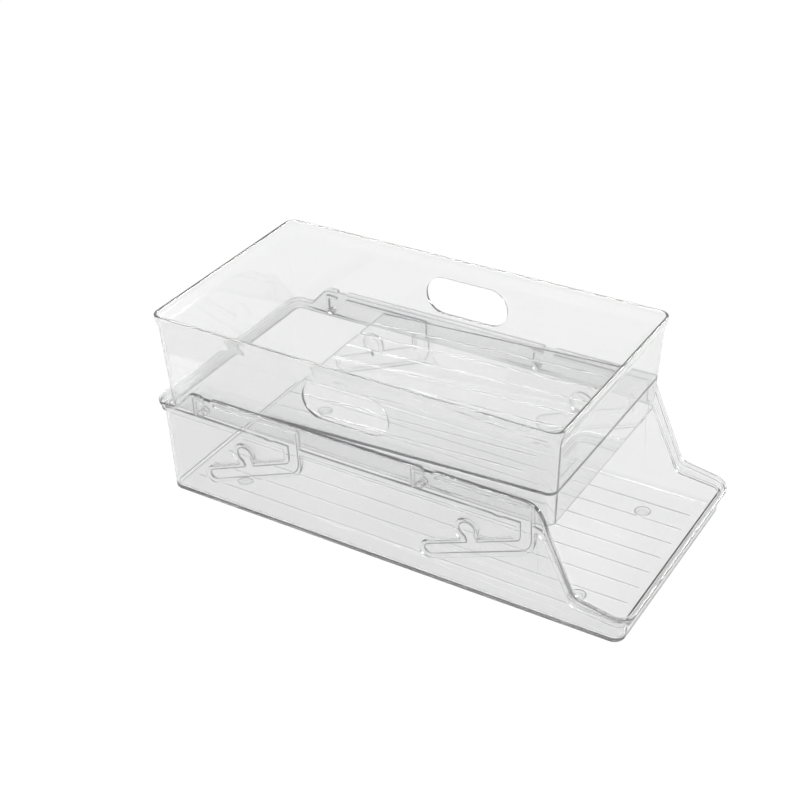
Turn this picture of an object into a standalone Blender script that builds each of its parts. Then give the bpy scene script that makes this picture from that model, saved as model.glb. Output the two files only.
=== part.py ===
"""A two-deck can organizer of clear moulded plastic.

A long tray holds one row of cans and has a low lip in front. A bin stands in it on four guide pins.
The bin's deck slopes down to the rear, where cans drop through to the tray. The pins run in tracks
moulded into the tray's two side walls, so that the bin slides forward.

Metres, +Z up, +X towards the front lip. The origin is the middle of the footprint, on the surface
that the feet stand on.
"""
import bmesh
import bpy
from math import atan2, cos, pi, radians, sin, tan
from mathutils import Matrix, Vector

# Tray: floor, walls and ledge. Heights are counted from the tray's underside.
tray_length = 0.3441
tray_width = 0.1600
tray_corner_radius = 0.0038
tray_wall = 0.0020
tray_floor = 0.0022
tray_bottom_round = 0.0010
side_lean = 0.0012
rear_lean = 0.0003
lip_lean = 0.0027
ledge_height = 0.0700
lip_height = 0.0225

# The rims, and where the side rims climb behind and fall in front.
rear_rim_over_ledge = 0.0043
raised_rim_over_ledge = 0.0192
rim_blend = 0.0080
climb_start = 0.0158
climb_run = 0.0140
fall_from_front = 0.0553
fall_run = 0.0257
fall_foot_over_lip = 0.0055
fall_top_radius = 0.0140
fall_foot_radius = 0.0090

# Shoulder: the band under the rim stands outside the wall, and its step is the ledge inside.
shoulder_under_ledge = 0.0031
shoulder_step = 0.0023
shoulder_fall_from_front = 0.0538
shoulder_fall_run = 0.0216
shoulder_foot_under_lip = 0.0039
shoulder_front_under_lip = 0.0095
shoulder_radius = 0.0070
ledge_shift_forward = 0.0013
bead_step = 0.0013
bead_height = 0.0029
bead_shift_back = 0.0013

# Ribs that cans roll on.
rib_count = 8
rib_pitch = 0.01715
rib_width = 0.0011
rib_height = 0.0006
tray_rib_rear_margin = 0.0098
tray_rib_front_margin = 0.0118

# Bin: rim, walls and skirt. Its heights are counted from the skirt's lower edge.
bin_rear_gap = 0.0024
bin_setback = 0.0446
bin_side_inset = 0.0003
bin_height = 0.0702
bin_lean = 0.0026
bin_front_lean = 0.0042
bin_flare = 0.0015
bin_flare_start = 0.0120
bin_flare_end = 0.0030
bin_corner_radius = 0.0060
bin_wall = 0.0020
skirt_below_pins = 0.0036

# The bin's sloping deck, and the drop opening left behind it.
deck_rear_from_rear = 0.0821
deck_over_pins = 0.0059
deck_slope = radians(2.65)
deck_thickness = 0.0020
deck_rib_front_margin = 0.0322

# Hand hole in the middle of each long wall of the bin.
hand_hole_length = 0.0640
hand_hole_height = 0.0276
hand_hole_centre_height = 0.0410

# Guide pins.
pin_radius = 0.0032
pin_neck_radius = 0.0018
pin_head_radius = 0.0032
pin_head_thickness = 0.0012
pin_chamfer = 0.0005
rear_pin_from_rear = 0.0358
front_pin_from_front = 0.1380

# Tracks in the tray's side walls. Places are counted from the pin's resting place.
slide_travel = 0.0550
track_play = 0.0012
track_border = 0.0028
turn_from_pin = 0.0741
turn_radius = 0.0080
leg_corner_under_ledge = 0.0163
leg_slope = radians(22.3)
leg_end_from_pin = 0.0056
pocket_from_pin = 0.0380
pocket_play = 0.0025
pocket_rise = 0.0129
keeper_over_pin = 0.0058
keeper_thickness = 0.0020
entry_from_pin = 0.0075
entry_play = 0.0018
entry_notch_depth = 0.0016
stop_thickness = 0.0022
detent_depth = 0.0008
detent_play = 0.0016

# Feet: soft round pads in shallow seats under the tray's corners.
foot_radius = 0.0050
foot_thickness = 0.0018
foot_stand = 0.0010
foot_dimple_radius = 0.0028
foot_dimple_depth = 0.0007
foot_inset_from_end = 0.0428
foot_inset_from_side = 0.0300

# Shared small values.
touch_gap = 0.0003
merge_distance = 0.00003
overrun = 0.0200
corner_steps = 7
arc_steps = 8
round_steps = 28

# Colours and surfaces of the clear mouldings and pads.
moulding_colour = (0.93, 0.95, 0.96)
moulding_roughness = 0.05
pin_roughness = 0.08
pad_colour = (0.86, 0.88, 0.89)
pad_roughness = 0.3

tray_base = foot_stand
floor_top = tray_base + tray_floor
rear_rim_height = ledge_height + rear_rim_over_ledge
raised_rim_height = ledge_height + raised_rim_over_ledge
rear_overhang = rear_lean * rear_rim_height / raised_rim_height
tray_rear = -(tray_length + lip_lean - rear_overhang) / 2
tray_front = tray_rear + tray_length
tray_half_width = tray_width / 2
rim_top = tray_base + raised_rim_height
loft_top = rim_top + overrun
region_half_width = tray_half_width + overrun

pin_diameter = 2 * pin_radius
pin_height = tray_base + ledge_height + touch_gap + pin_radius
pin_places = [tray_rear + rear_pin_from_rear, tray_front - front_pin_from_front]
track_width = pin_diameter + track_play
keeper_height = tray_base + ledge_height + touch_gap + pin_diameter + keeper_over_pin

bin_rear = tray_rear + bin_rear_gap
bin_front = tray_front - bin_setback
bin_half_width = tray_half_width - bin_side_inset
bin_base = pin_height - skirt_below_pins
deck_rear = tray_rear + deck_rear_from_rear
deck_rear_height = pin_height + pin_head_radius + deck_over_pins + deck_thickness


def clear_scene():
    """Starts from an empty scene."""
    for old in list(bpy.data.objects):
        bpy.data.objects.remove(old, do_unlink=True)


def new_collection(name):
    """Adds a collection to the scene."""
    made = bpy.data.collections.new(name)
    bpy.context.scene.collection.children.link(made)
    return made


def clear_plastic(name, colour, roughness):
    """Gives a plain see-through moulding material."""
    made = bpy.data.materials.new(name)
    made.use_nodes = True
    shader = made.node_tree.nodes["Principled BSDF"]
    shader.inputs["Base Color"].default_value = (*colour, 1)
    shader.inputs["Roughness"].default_value = roughness
    shader.inputs["Metallic"].default_value = 0
    shader.inputs["Transmission Weight"].default_value = 1
    return made


def add_mesh(name, mesh, group):
    """Puts a mesh in the scene as an object of one group."""
    made = bpy.data.objects.new(name, mesh)
    group.objects.link(made)
    if group is cutters:
        made.hide_render = True
        made.display_type = "WIRE"
    return made


def rounded_ring(rear, front, half_width, radius, height):
    """Lists the points of a level rectangle with round corners."""
    points = []
    corners = [(front, half_width, 0), (rear, half_width, 1), (rear, -half_width, 2), (front, -half_width, 3)]
    for x, y, quarter in corners:
        centre_x = x - radius if x == front else x + radius
        centre_y = y - radius if y > 0 else y + radius
        for step in range(corner_steps + 1):
            angle = (quarter + step / corner_steps) * pi / 2
            points.append((centre_x + radius * cos(angle), centre_y + radius * sin(angle), height))
    return points


def loft(name, rings, group):
    """Joins level rings, lowest first, into one closed solid."""
    mesh = bpy.data.meshes.new(name)
    shape = bmesh.new()
    rows = [[shape.verts.new(point) for point in ring] for ring in rings]
    shape.faces.new(list(reversed(rows[0])))
    for low, high in zip(rows, rows[1:]):
        for index in range(len(low)):
            after = (index + 1) % len(low)
            shape.faces.new((low[index], low[after], high[after], high[index]))
    shape.faces.new(rows[-1])
    shape.to_mesh(mesh)
    shape.free()
    return add_mesh(name, mesh, group)


def side_outline(name, points, middle, half_width, group):
    """Makes a solid from an outline seen from the side, in X and Z, centred at Y = middle."""
    flat = bpy.data.curves.new(name, "CURVE")
    flat.dimensions = "2D"
    flat.fill_mode = "BOTH"
    flat.extrude = half_width
    line = flat.splines.new("POLY")
    line.points.add(len(points) - 1)
    for point, (x, z) in zip(line.points, points):
        point.co = (x, z, 0, 1)
    line.use_cyclic_u = True
    drawn = bpy.data.objects.new(name + "_drawn", flat)
    bpy.context.scene.collection.objects.link(drawn)
    drawn.rotation_euler = (pi / 2, 0, 0)
    drawn.location = (0, middle, 0)
    bpy.context.view_layer.update()
    mesh = bpy.data.meshes.new_from_object(drawn.evaluated_get(bpy.context.evaluated_depsgraph_get()))
    mesh.transform(drawn.matrix_world)
    shape = bmesh.new()
    shape.from_mesh(mesh)
    bmesh.ops.remove_doubles(shape, verts=shape.verts, dist=merge_distance)
    bmesh.ops.recalc_face_normals(shape, faces=shape.faces)
    shape.to_mesh(mesh)
    shape.free()
    bpy.data.objects.remove(drawn, do_unlink=True)
    return add_mesh(name, mesh, group)


def box(name, low, high, group):
    """Makes a box from its lowest and highest corners."""
    mesh = bpy.data.meshes.new(name)
    shape = bmesh.new()
    size = Vector(high) - Vector(low)
    middle = (Vector(high) + Vector(low)) / 2
    place = Matrix.Translation(middle) @ Matrix.Diagonal((*size, 1))
    bmesh.ops.create_cube(shape, size=1, matrix=place)
    shape.to_mesh(mesh)
    shape.free()
    return add_mesh(name, mesh, group)


def cut_or_join(target, tool, operation):
    """Adds one exact Boolean to a solid."""
    step = target.modifiers.new(tool.name, "BOOLEAN")
    step.operation = operation
    step.object = tool
    step.solver = "EXACT"


def rounded_line(corners, radii):
    """Rounds the inner corners of an open line, one radius for each."""
    points = [corners[0]]
    for before, corner, after, radius in zip(corners, corners[1:], corners[2:], radii):
        here = Vector(corner)
        back = (Vector(before) - here).normalized()
        ahead = (Vector(after) - here).normalized()
        opening = back.angle(ahead)
        reach = radius / tan(opening / 2)
        middle = here + (back + ahead).normalized() * (radius / sin(opening / 2))
        start = here + back * reach - middle
        end = here + ahead * reach - middle
        turn = start.angle_signed(end)
        for step in range(arc_steps + 1):
            angle = turn * step / arc_steps
            spun = Matrix.Rotation(-angle, 2) @ start
            points.append(tuple(middle + spun))
    points.append(corners[-1])
    return points


def ribbon(points, half_width):
    """Widens an open line into an outline with a round far end."""
    left = []
    right = []
    for index, point in enumerate(points):
        before = Vector(points[max(index - 1, 0)])
        after = Vector(points[min(index + 1, len(points) - 1)])
        along = (after - before).normalized()
        across = Vector((-along.y, along.x)) * half_width
        left.append(tuple(Vector(point) + across))
        right.append(tuple(Vector(point) - across))
    end = Vector(points[-1])
    facing = end - Vector(points[-2])
    heading = atan2(facing.y, facing.x)
    cap = []
    for step in range(1, arc_steps):
        angle = heading + pi / 2 - pi * step / arc_steps
        cap.append((end.x + half_width * cos(angle), end.y + half_width * sin(angle)))
    return left + cap + list(reversed(right))


def circle_outline(x, z, radius):
    """Lists the points of a circle seen from the side."""
    turns = [2 * pi * step / round_steps for step in range(round_steps)]
    return [(x + radius * cos(angle), z + radius * sin(angle)) for angle in turns]


def rim_line(shift_x, shift_z):
    """Gives the tray's rim seen from the side: low in the rear, raised, then down to the lip."""
    fall = tray_length - fall_from_front
    foot = fall + fall_run
    drop = fall_foot_over_lip / (tray_length - foot)
    corners = [
        (-overrun, rear_rim_height),
        (climb_start, rear_rim_height),
        (climb_start + climb_run, raised_rim_height),
        (fall, raised_rim_height),
        (foot, lip_height + fall_foot_over_lip),
        (tray_length + overrun, lip_height - drop * overrun),
    ]
    radii = [rim_blend, rim_blend, fall_top_radius, fall_foot_radius]
    line = rounded_line(corners, radii)
    return [(tray_rear + x + shift_x, tray_base + z + shift_z) for x, z in line]


def shoulder_line(shift_x, shift_z):
    """Gives the shoulder's line seen from the side, which follows the rim down in front."""
    level = ledge_height - shoulder_under_ledge
    fall = tray_length - shoulder_fall_from_front
    corners = [
        (-overrun, level),
        (fall, level),
        (fall + shoulder_fall_run, lip_height - shoulder_foot_under_lip),
        (tray_length + overrun, lip_height - shoulder_front_under_lip),
    ]
    line = rounded_line(corners, [shoulder_radius, shoulder_radius])
    return [(tray_rear + x + shift_x, tray_base + z + shift_z) for x, z in line]


def above(name, line):
    """Makes the solid above a line, right across the tray."""
    high = loft_top + overrun
    outline = list(line) + [(line[-1][0], high), (line[0][0], high)]
    return side_outline(name, outline, 0, region_half_width, cutters)


def tray_loft(name, offset, base, group, bottom_round):
    """Makes the tray's block, set out from its wall by an offset, from a base height up."""
    heights = [base, loft_top]
    insets = [0, 0]
    if bottom_round > 0:
        heights = [base]
        insets = [bottom_round]
        for step in range(1, arc_steps // 2 + 1):
            angle = pi / 2 * step / (arc_steps // 2)
            heights.append(base + bottom_round * (1 - cos(angle)))
            insets.append(bottom_round * (1 - sin(angle)))
        heights.append(loft_top)
        insets.append(0)
    rings = []
    for height, inset in zip(heights, insets):
        share = (height - tray_base) / raised_rim_height
        lip_share = (height - tray_base) / lip_height
        reach = offset - inset
        rear = tray_rear - rear_lean * share - reach
        front = tray_front + lip_lean * lip_share + reach
        half = tray_half_width + side_lean * share + reach
        rings.append(rounded_ring(rear, front, half, tray_corner_radius + reach, height))
    return loft(name, rings, group)


def track_line(pin_x):
    """Gives the middle of one track below the ledge: down the turn, then back along the sloping leg."""
    turn_x = pin_x + turn_from_pin
    corner = tray_base + ledge_height - leg_corner_under_ledge
    end_x = pin_x + leg_end_from_pin
    end_z = corner - (turn_x - end_x) * tan(leg_slope)
    top = tray_base + ledge_height + track_width / 2
    return rounded_line([(turn_x, top), (turn_x, corner), (end_x, end_z)], [turn_radius])


def track_shapes(name, pin_x, border):
    """Makes the solids of one track with its snap pocket, across the whole tray."""
    half = track_width / 2 + border
    leg = side_outline(name + "_leg", ribbon(track_line(pin_x), half), 0, region_half_width, cutters)
    foot_x = pin_x + pocket_from_pin
    corner = tray_base + ledge_height - leg_corner_under_ledge
    foot_z = corner - (turn_from_pin - pocket_from_pin) * tan(leg_slope)
    centre_x = foot_x - pocket_rise * sin(leg_slope)
    centre_z = foot_z + pocket_rise * cos(leg_slope)
    ring = circle_outline(centre_x, centre_z, pin_radius + pocket_play + border)
    pocket = side_outline(name + "_pocket", ring, 0, region_half_width, cutters)
    neck_line = [(centre_x, centre_z), (foot_x, foot_z)]
    neck = side_outline(name + "_neck", ribbon(neck_line, half), 0, region_half_width, cutters)
    cut_or_join(leg, neck, "UNION")
    cut_or_join(leg, pocket, "UNION")
    return leg


def raised_region(name, line, border):
    """Makes the side region that stands out: all above a line, and both tracks."""
    region = above(name, line)
    for place, pin_x in zip(("rear", "front"), pin_places):
        track = track_shapes(name + "_" + place, pin_x, border)
        cut_or_join(region, track, "UNION")
    return region


def wall_inner(height):
    """Gives the half width between the tray's walls at a height."""
    return tray_half_width + side_lean * (height - tray_base) / raised_rim_height - tray_wall


def entry_ends(pin_x):
    """Gives both ends of the notch through which a pin drops into its track."""
    half = (pin_diameter + entry_play) / 2
    middle = pin_x + entry_from_pin
    return middle - half, middle + half


def track_keepers(side, place, pin_x):
    """Makes the ribs that close one track above: a rib in two lengths, and a stop at each end."""
    high = keeper_height + keeper_thickness
    inner = wall_inner(keeper_height)
    outer = inner + shoulder_step + tray_wall / 2
    start = pin_x - pin_radius - touch_gap - stop_thickness
    end = pin_x + turn_from_pin + track_width / 2 + stop_thickness
    entry_start, entry_end = entry_ends(pin_x)
    sill = tray_base + ledge_height - tray_wall / 2
    pieces = [
        ("rear_keeper", start, entry_start, keeper_height),
        ("front_keeper", entry_end, end, keeper_height),
        ("rear_stop", start, start + stop_thickness, sill),
        ("front_stop", end - stop_thickness, end, sill),
    ]
    made = []
    for part, x0, x1, z0 in pieces:
        y0, y1 = sorted((side * inner, side * outer))
        name = "_".join((place, part, "left" if side > 0 else "right"))
        made.append(box(name, (x0, y0, z0), (x1, y1, high), cutters))
    return made


def make_tray(material):
    """Makes the tray with its shoulder, rim bead, tracks, ribs and foot seats."""
    tray = tray_loft("lower_tray", 0, tray_base, parts, tray_bottom_round)
    band = tray_loft("band", shoulder_step, tray_base + tray_floor, cutters, 0)
    cut_or_join(band, raised_region("band_region", shoulder_line(0, 0), track_border), "INTERSECT")
    cut_or_join(tray, band, "UNION")
    bead = tray_loft("bead", shoulder_step + bead_step, tray_base + tray_floor, cutters, 0)
    cut_or_join(bead, above("bead_region", rim_line(-bead_shift_back, -bead_height)), "INTERSECT")
    cut_or_join(tray, bead, "UNION")

    hollow = tray_loft("hollow", -tray_wall, floor_top, cutters, 0)
    cut_or_join(tray, hollow, "DIFFERENCE")
    recess = tray_loft("recess", shoulder_step - tray_wall, floor_top + rib_height, cutters, 0)
    ledge = shoulder_line(ledge_shift_forward, shoulder_under_ledge)
    cut_or_join(recess, raised_region("recess_region", ledge, 0), "INTERSECT")
    cut_or_join(tray, recess, "DIFFERENCE")

    for side in (1, -1):
        for place, pin_x in zip(("rear", "front"), pin_places):
            for keeper in track_keepers(side, place, pin_x):
                cut_or_join(tray, keeper, "UNION")
    cut_or_join(tray, above("over_rim", rim_line(0, 0)), "DIFFERENCE")

    for place, pin_x in zip(("rear", "front"), pin_places):
        entry_start, entry_end = entry_ends(pin_x)
        low = (entry_start, -region_half_width, rim_top - entry_notch_depth)
        high = (entry_end, region_half_width, loft_top)
        cut_or_join(tray, box(place + "_entry_notch", low, high, cutters), "DIFFERENCE")
        cut_or_join(tray, detent_cut(place, pin_x), "DIFFERENCE")

    for index in range(rib_count):
        middle = (index - (rib_count - 1) / 2) * rib_pitch
        low = (tray_rear + tray_rib_rear_margin, middle - rib_width / 2, floor_top - tray_floor / 2)
        high = (tray_front - tray_rib_front_margin, middle + rib_width / 2, floor_top + rib_height)
        cut_or_join(tray, box(f"tray_rib_{index + 1}", low, high, cutters), "UNION")

    seat_depth = foot_thickness - foot_stand
    for name, x, y in foot_places():
        seat = turned(name + "_seat", [
            (0, seat_depth + touch_gap),
            (foot_radius + touch_gap, seat_depth + touch_gap),
            (foot_radius + touch_gap, -overrun),
            (0, -overrun),
        ], cutters)
        seat.location = (x, y, tray_base)
        cut_or_join(tray, seat, "DIFFERENCE")
    tray.data.materials.append(material)
    return tray


def detent_cut(place, pin_x):
    """Makes the shallow dip that holds a pin at the forward end of its slide."""
    sill = tray_base + ledge_height
    half = (pin_diameter + detent_play) / 2
    radius = (half * half + detent_depth * detent_depth) / (2 * detent_depth)
    reach = atan2(half, radius - detent_depth)
    centre_z = sill + radius - detent_depth
    points = []
    for step in range(arc_steps + 1):
        angle = -pi / 2 - reach + 2 * reach * step / arc_steps
        points.append((pin_x + slide_travel + radius * cos(angle), centre_z + radius * sin(angle)))
    points.append((pin_x + slide_travel + half, sill + detent_depth))
    points.append((pin_x + slide_travel - half, sill + detent_depth))
    inner = wall_inner(sill)
    return side_outline(place + "_detent", points, 0, inner + shoulder_step, cutters)


def bin_ring(height, offset):
    """Gives the bin's ring at a height above its skirt, set out by an offset."""
    fall_share = 1 - height / bin_height
    rear = bin_rear + bin_lean * fall_share - offset
    front = bin_front - bin_front_lean * fall_share + offset
    half = bin_half_width - bin_lean * fall_share + offset
    return rounded_ring(rear, front, half, bin_corner_radius + offset, bin_base + height)


def flare_rows():
    """Lists the heights and offsets of the smooth S by which the bin's rim flares out."""
    start = bin_height - bin_flare_start
    end = bin_height - bin_flare_end
    rows = []
    for step in range(arc_steps // 2 + 1):
        share = step / (arc_steps // 2)
        rows.append((start + (end - start) * share, bin_flare * (1 - cos(pi * share)) / 2))
    return rows


def deck_height(x):
    """Gives the height of the deck's upper face at a place along X."""
    return deck_rear_height + (x - deck_rear) * tan(deck_slope)


def deck_strip(x0, x1, low, high):
    """Gives the side outline of a strip that follows the deck, between two heights above it."""
    ends = [(x0, low), (x1, low), (x1, high), (x0, high)]
    return [(x, deck_height(x) + rise) for x, rise in ends]


def make_bin(material):
    """Makes the bin: walls with a flared rim, a skirt, the sloping deck and the hand holes."""
    flare = flare_rows()
    rings = [bin_ring(0, 0)]
    hollow_rings = [bin_ring(-overrun, -bin_wall)]
    for height, offset in flare:
        rings.append(bin_ring(height, offset))
        hollow_rings.append(bin_ring(height, offset - bin_wall))
    rings.append(bin_ring(bin_height, bin_flare))
    hollow_rings.append(bin_ring(bin_height + overrun, bin_flare - bin_wall))
    box_walls = loft("upper_bin", rings, parts)
    hollow = loft("bin_hollow", hollow_rings, cutters)
    slab = side_outline("deck", deck_strip(deck_rear, bin_front + overrun, -deck_thickness, 0), 0,
                        region_half_width, cutters)
    cut_or_join(hollow, slab, "DIFFERENCE")
    cut_or_join(box_walls, hollow, "DIFFERENCE")

    for index in range(rib_count):
        middle = (index - (rib_count - 1) / 2) * rib_pitch
        strip = deck_strip(deck_rear + rib_width, bin_front - deck_rib_front_margin,
                           -deck_thickness / 2, rib_height)
        rib = side_outline(f"deck_rib_{index + 1}", strip, middle, rib_width / 2, cutters)
        cut_or_join(box_walls, rib, "UNION")

    centre_x = (bin_rear + bin_front) / 2
    centre_z = bin_base + hand_hole_centre_height
    radius = hand_hole_height / 2
    reach = hand_hole_length / 2 - radius
    outline = []
    for step in range(round_steps + 1):
        angle = -pi / 2 + pi * step / round_steps
        outline.append((centre_x + reach + radius * cos(angle), centre_z + radius * sin(angle)))
    for step in range(round_steps + 1):
        angle = pi / 2 + pi * step / round_steps
        outline.append((centre_x - reach + radius * cos(angle), centre_z + radius * sin(angle)))
    hole = side_outline("hand_holes", outline, 0, region_half_width, cutters)
    cut_or_join(box_walls, hole, "DIFFERENCE")

    for place, pin_x in zip(("rear", "front"), pin_places):
        ring = circle_outline(pin_x, pin_height, pin_neck_radius + touch_gap)
        bore = side_outline(place + "_pin_bore", ring, 0, region_half_width, cutters)
        cut_or_join(box_walls, bore, "DIFFERENCE")
    box_walls.data.materials.append(material)
    return box_walls


def turned(name, profile, group):
    """Turns a profile of (radius, height) points, top to bottom, about the local Z axis."""
    mesh = bpy.data.meshes.new(name)
    shape = bmesh.new()
    row = [shape.verts.new((radius, 0, height)) for radius, height in profile]
    for upper, lower in zip(row, row[1:]):
        shape.edges.new((upper, lower))
    shape.to_mesh(mesh)
    shape.free()
    made = add_mesh(name, mesh, group)
    screw = made.modifiers.new("turn", "SCREW")
    screw.steps = round_steps
    screw.render_steps = round_steps
    screw.use_merge_vertices = True
    screw.merge_threshold = merge_distance
    screw.use_smooth_shade = True
    return made


def make_pin(name, pin_x, side, material):
    """Makes one guide pin: a barrel in the track, a neck in the bin's wall and a head inside."""
    outside = bin_half_width - bin_lean + bin_lean * (pin_height + pin_radius - bin_base) / bin_height
    inside = outside - bin_wall - bin_lean * pin_diameter / bin_height
    tip = wall_inner(pin_height) + shoulder_step - touch_gap
    barrel = outside + touch_gap
    head = inside - touch_gap
    pin = turned(name, [
        (0, tip),
        (pin_radius - pin_chamfer, tip),
        (pin_radius, tip - pin_chamfer),
        (pin_radius, barrel),
        (pin_neck_radius, barrel),
        (pin_neck_radius, head),
        (pin_head_radius, head),
        (pin_head_radius, head - pin_head_thickness + pin_chamfer),
        (pin_head_radius - pin_chamfer, head - pin_head_thickness),
        (0, head - pin_head_thickness),
    ], parts)
    pin.location = (pin_x, 0, pin_height)
    pin.rotation_euler = (-side * pi / 2, 0, 0)
    pin.data.materials.append(material)
    return pin


def foot_places():
    """Lists each foot's name and place under the tray."""
    rear = tray_rear + foot_inset_from_end
    front = tray_front - foot_inset_from_end
    y = tray_half_width - foot_inset_from_side
    return [
        ("foot_rear_left", rear, y),
        ("foot_rear_right", rear, -y),
        ("foot_front_left", front, y),
        ("foot_front_right", front, -y),
    ]


def make_foot(name, x, y, material):
    """Makes one round pad with a dimple below."""
    foot = turned(name, [
        (0, foot_thickness),
        (foot_radius, foot_thickness),
        (foot_radius, 0),
        (foot_dimple_radius, 0),
        (foot_dimple_radius, foot_dimple_depth),
        (0, foot_dimple_depth),
    ], parts)
    foot.location = (x, y, 0)
    foot.data.materials.append(material)
    return foot


clear_scene()
parts = new_collection("can_organizer")
cutters = new_collection("cutters")

tray = make_tray(clear_plastic("tray_plastic", moulding_colour, moulding_roughness))
upper_bin = make_bin(clear_plastic("bin_plastic", moulding_colour, moulding_roughness))
slide = bpy.data.objects.new("bin_slide", None)
parts.objects.link(slide)
slide.location = (pin_places[0], 0, pin_height)
moving = [upper_bin]
for place, pin_x in zip(("rear", "front"), pin_places):
    for side, hand in ((1, "left"), (-1, "right")):
        name = "_".join(("guide_pin", place, hand))
        moving.append(make_pin(name, pin_x, side, clear_plastic(name, moulding_colour, pin_roughness)))
for name, x, y in foot_places():
    make_foot(name, x, y, clear_plastic(name, pad_colour, pad_roughness))
bpy.context.view_layer.update()
for piece in moving:
    piece.parent = slide
    piece.matrix_parent_inverse = slide.matrix_world.inverted()
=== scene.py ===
# %% [markdown]
# # A two-deck can organizer in clear plastic
# The real object is two thin mouldings of clear plastic. A long tray stands on four soft pads and
# has a low lip in front. A bin with a sloping deck stands in it on four guide pins, which slide in
# tracks moulded into the tray's side walls. This lesson dresses the solid model: each moulding is
# made again with rounded edges, because clear plastic shows little more than its edges.

# %% [markdown]
# ## The frame
# The imported solid model is the frame. It says where each piece is, which body each piece moves with, and how large
# the whole is. It could be drawn as it is, but its edges are sharp and its curves are coarse, so its pieces are only
# kept for their places.

# %% Load the frame
from math import atan2, cos, pi, radians, sin, tan

import bmesh
import bpy
from mathutils import Matrix, Vector


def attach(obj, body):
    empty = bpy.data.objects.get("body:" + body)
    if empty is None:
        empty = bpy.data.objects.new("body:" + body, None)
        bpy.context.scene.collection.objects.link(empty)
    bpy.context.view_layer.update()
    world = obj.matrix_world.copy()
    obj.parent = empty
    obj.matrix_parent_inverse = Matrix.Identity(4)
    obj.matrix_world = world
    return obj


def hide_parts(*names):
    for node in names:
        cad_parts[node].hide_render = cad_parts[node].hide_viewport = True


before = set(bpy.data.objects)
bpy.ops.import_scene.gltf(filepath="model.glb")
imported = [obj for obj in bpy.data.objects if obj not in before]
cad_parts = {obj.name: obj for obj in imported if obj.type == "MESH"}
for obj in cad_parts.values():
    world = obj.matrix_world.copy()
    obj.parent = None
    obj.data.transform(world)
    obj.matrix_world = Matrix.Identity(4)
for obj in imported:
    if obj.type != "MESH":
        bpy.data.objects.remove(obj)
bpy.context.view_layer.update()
scene = bpy.context.scene

# %% [markdown]
# ## The camera
# The photograph was taken from the front right and above, with a longish lens. The camera's place
# and turn were fitted to the rims of the tray and the bin, so that the straight edges fall where
# the photograph has them. It could be aimed with a tracking constraint, but a fitted turn, with a
# slight roll, is simplest written as a matrix.

# %% Camera
camera_azimuth = radians(32.73)
camera_elevation = radians(32.61)
camera_roll = radians(-2.38)
camera_place = Vector((0.4449, -0.7408, 0.6350))
lens_length = 69.5
sensor_width = 36

level_right = Vector((cos(camera_azimuth), sin(camera_azimuth), 0))
backwards = Vector((
    sin(camera_azimuth) * cos(camera_elevation),
    -cos(camera_azimuth) * cos(camera_elevation),
    sin(camera_elevation),
))
level_up = backwards.cross(level_right)
right = level_right * cos(camera_roll) + level_up * sin(camera_roll)
upwards = level_up * cos(camera_roll) - level_right * sin(camera_roll)

lens = bpy.data.cameras.new("camera")
lens.lens = lens_length
lens.sensor_width = sensor_width
camera = bpy.data.objects.new("camera", lens)
scene.collection.objects.link(camera)
camera.matrix_world = Matrix.Translation(camera_place) @ Matrix((right, upwards, backwards)).transposed().to_4x4()
scene.camera = camera
scene.view_settings.view_transform = "Standard"
print("camera:", [round(value, 3) for value in camera_place])

# %% [markdown]
# ## The studio
# Clear plastic has hardly a colour of its own. It shows what is round it, bent at every edge. A
# photographer lights it from a white table and leaves part of the room darker, and then each edge,
# which bends the view upwards, draws itself as a grey line. The world here does the same: it is
# white at the horizon, where the camera looks, and right overhead, and has a dark band between
# them, about 35 to 60 degrees up. Light that a matt surface has scattered meets one even level
# instead. One evenly white world could be used for all, but then the plastic would vanish in it.

# %% World
def node_group_start(tree, *kinds):
    """Adds nodes by their kinds and returns them in order."""
    return [tree.nodes.new(kind) for kind in kinds]


horizon_white = (1, 1, 1, 1)
world_bands = [(0.0, 1.0), (0.46, 1.0), (0.60, 0.55), (0.68, 0.25), (0.82, 0.20), (0.88, 1.0)]
matt_level = (0.95, 0.95, 0.95, 1)

world = bpy.data.worlds.new("studio")
world.use_nodes = True
tree = world.node_tree
tree.nodes.clear()
output, background, place, split, ramp, path = node_group_start(
    tree, "ShaderNodeOutputWorld", "ShaderNodeBackground", "ShaderNodeTexCoord",
    "ShaderNodeSeparateXYZ", "ShaderNodeValToRGB", "ShaderNodeLightPath",
)
for_camera, for_matt = node_group_start(tree, "ShaderNodeMix", "ShaderNodeMix")
for mix in (for_camera, for_matt):
    mix.data_type = "RGBA"
bands = ramp.color_ramp.elements
while len(bands) < len(world_bands):
    bands.new(0.5)
for band, (height, level) in zip(bands, world_bands):
    band.position = height
    band.color = (level, level, level, 1)
tree.links.new(place.outputs["Generated"], split.inputs[0])
tree.links.new(split.outputs["Z"], ramp.inputs[0])
tree.links.new(path.outputs["Is Camera Ray"], for_camera.inputs["Factor"])
tree.links.new(ramp.outputs["Color"], for_camera.inputs["A"])
for_camera.inputs["B"].default_value = horizon_white
tree.links.new(path.outputs["Diffuse Depth"], for_matt.inputs["Factor"])
tree.links.new(for_camera.outputs["Result"], for_matt.inputs["A"])
for_matt.inputs["B"].default_value = matt_level
tree.links.new(for_matt.outputs["Result"], background.inputs["Color"])
tree.links.new(background.outputs[0], output.inputs["Surface"])
scene.world = world
print("world:", len(tree.nodes), "nodes")

# %% [markdown]
# ## The table
# The table is plain and white, and clear plastic throws only a faint shadow on it. The table's
# material glows a little, so that it stays white, and is matt for the rest, so that it keeps the
# shadow. A table lit to white by strong lamps would do too, but then the lamps would also be too
# strong for the object.

# %% Floor
floor_reach = 4
floor_glow_share = 0.92
floor_glow_strength = 1.04
floor_white = (0.96, 0.96, 0.96, 1)


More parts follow.
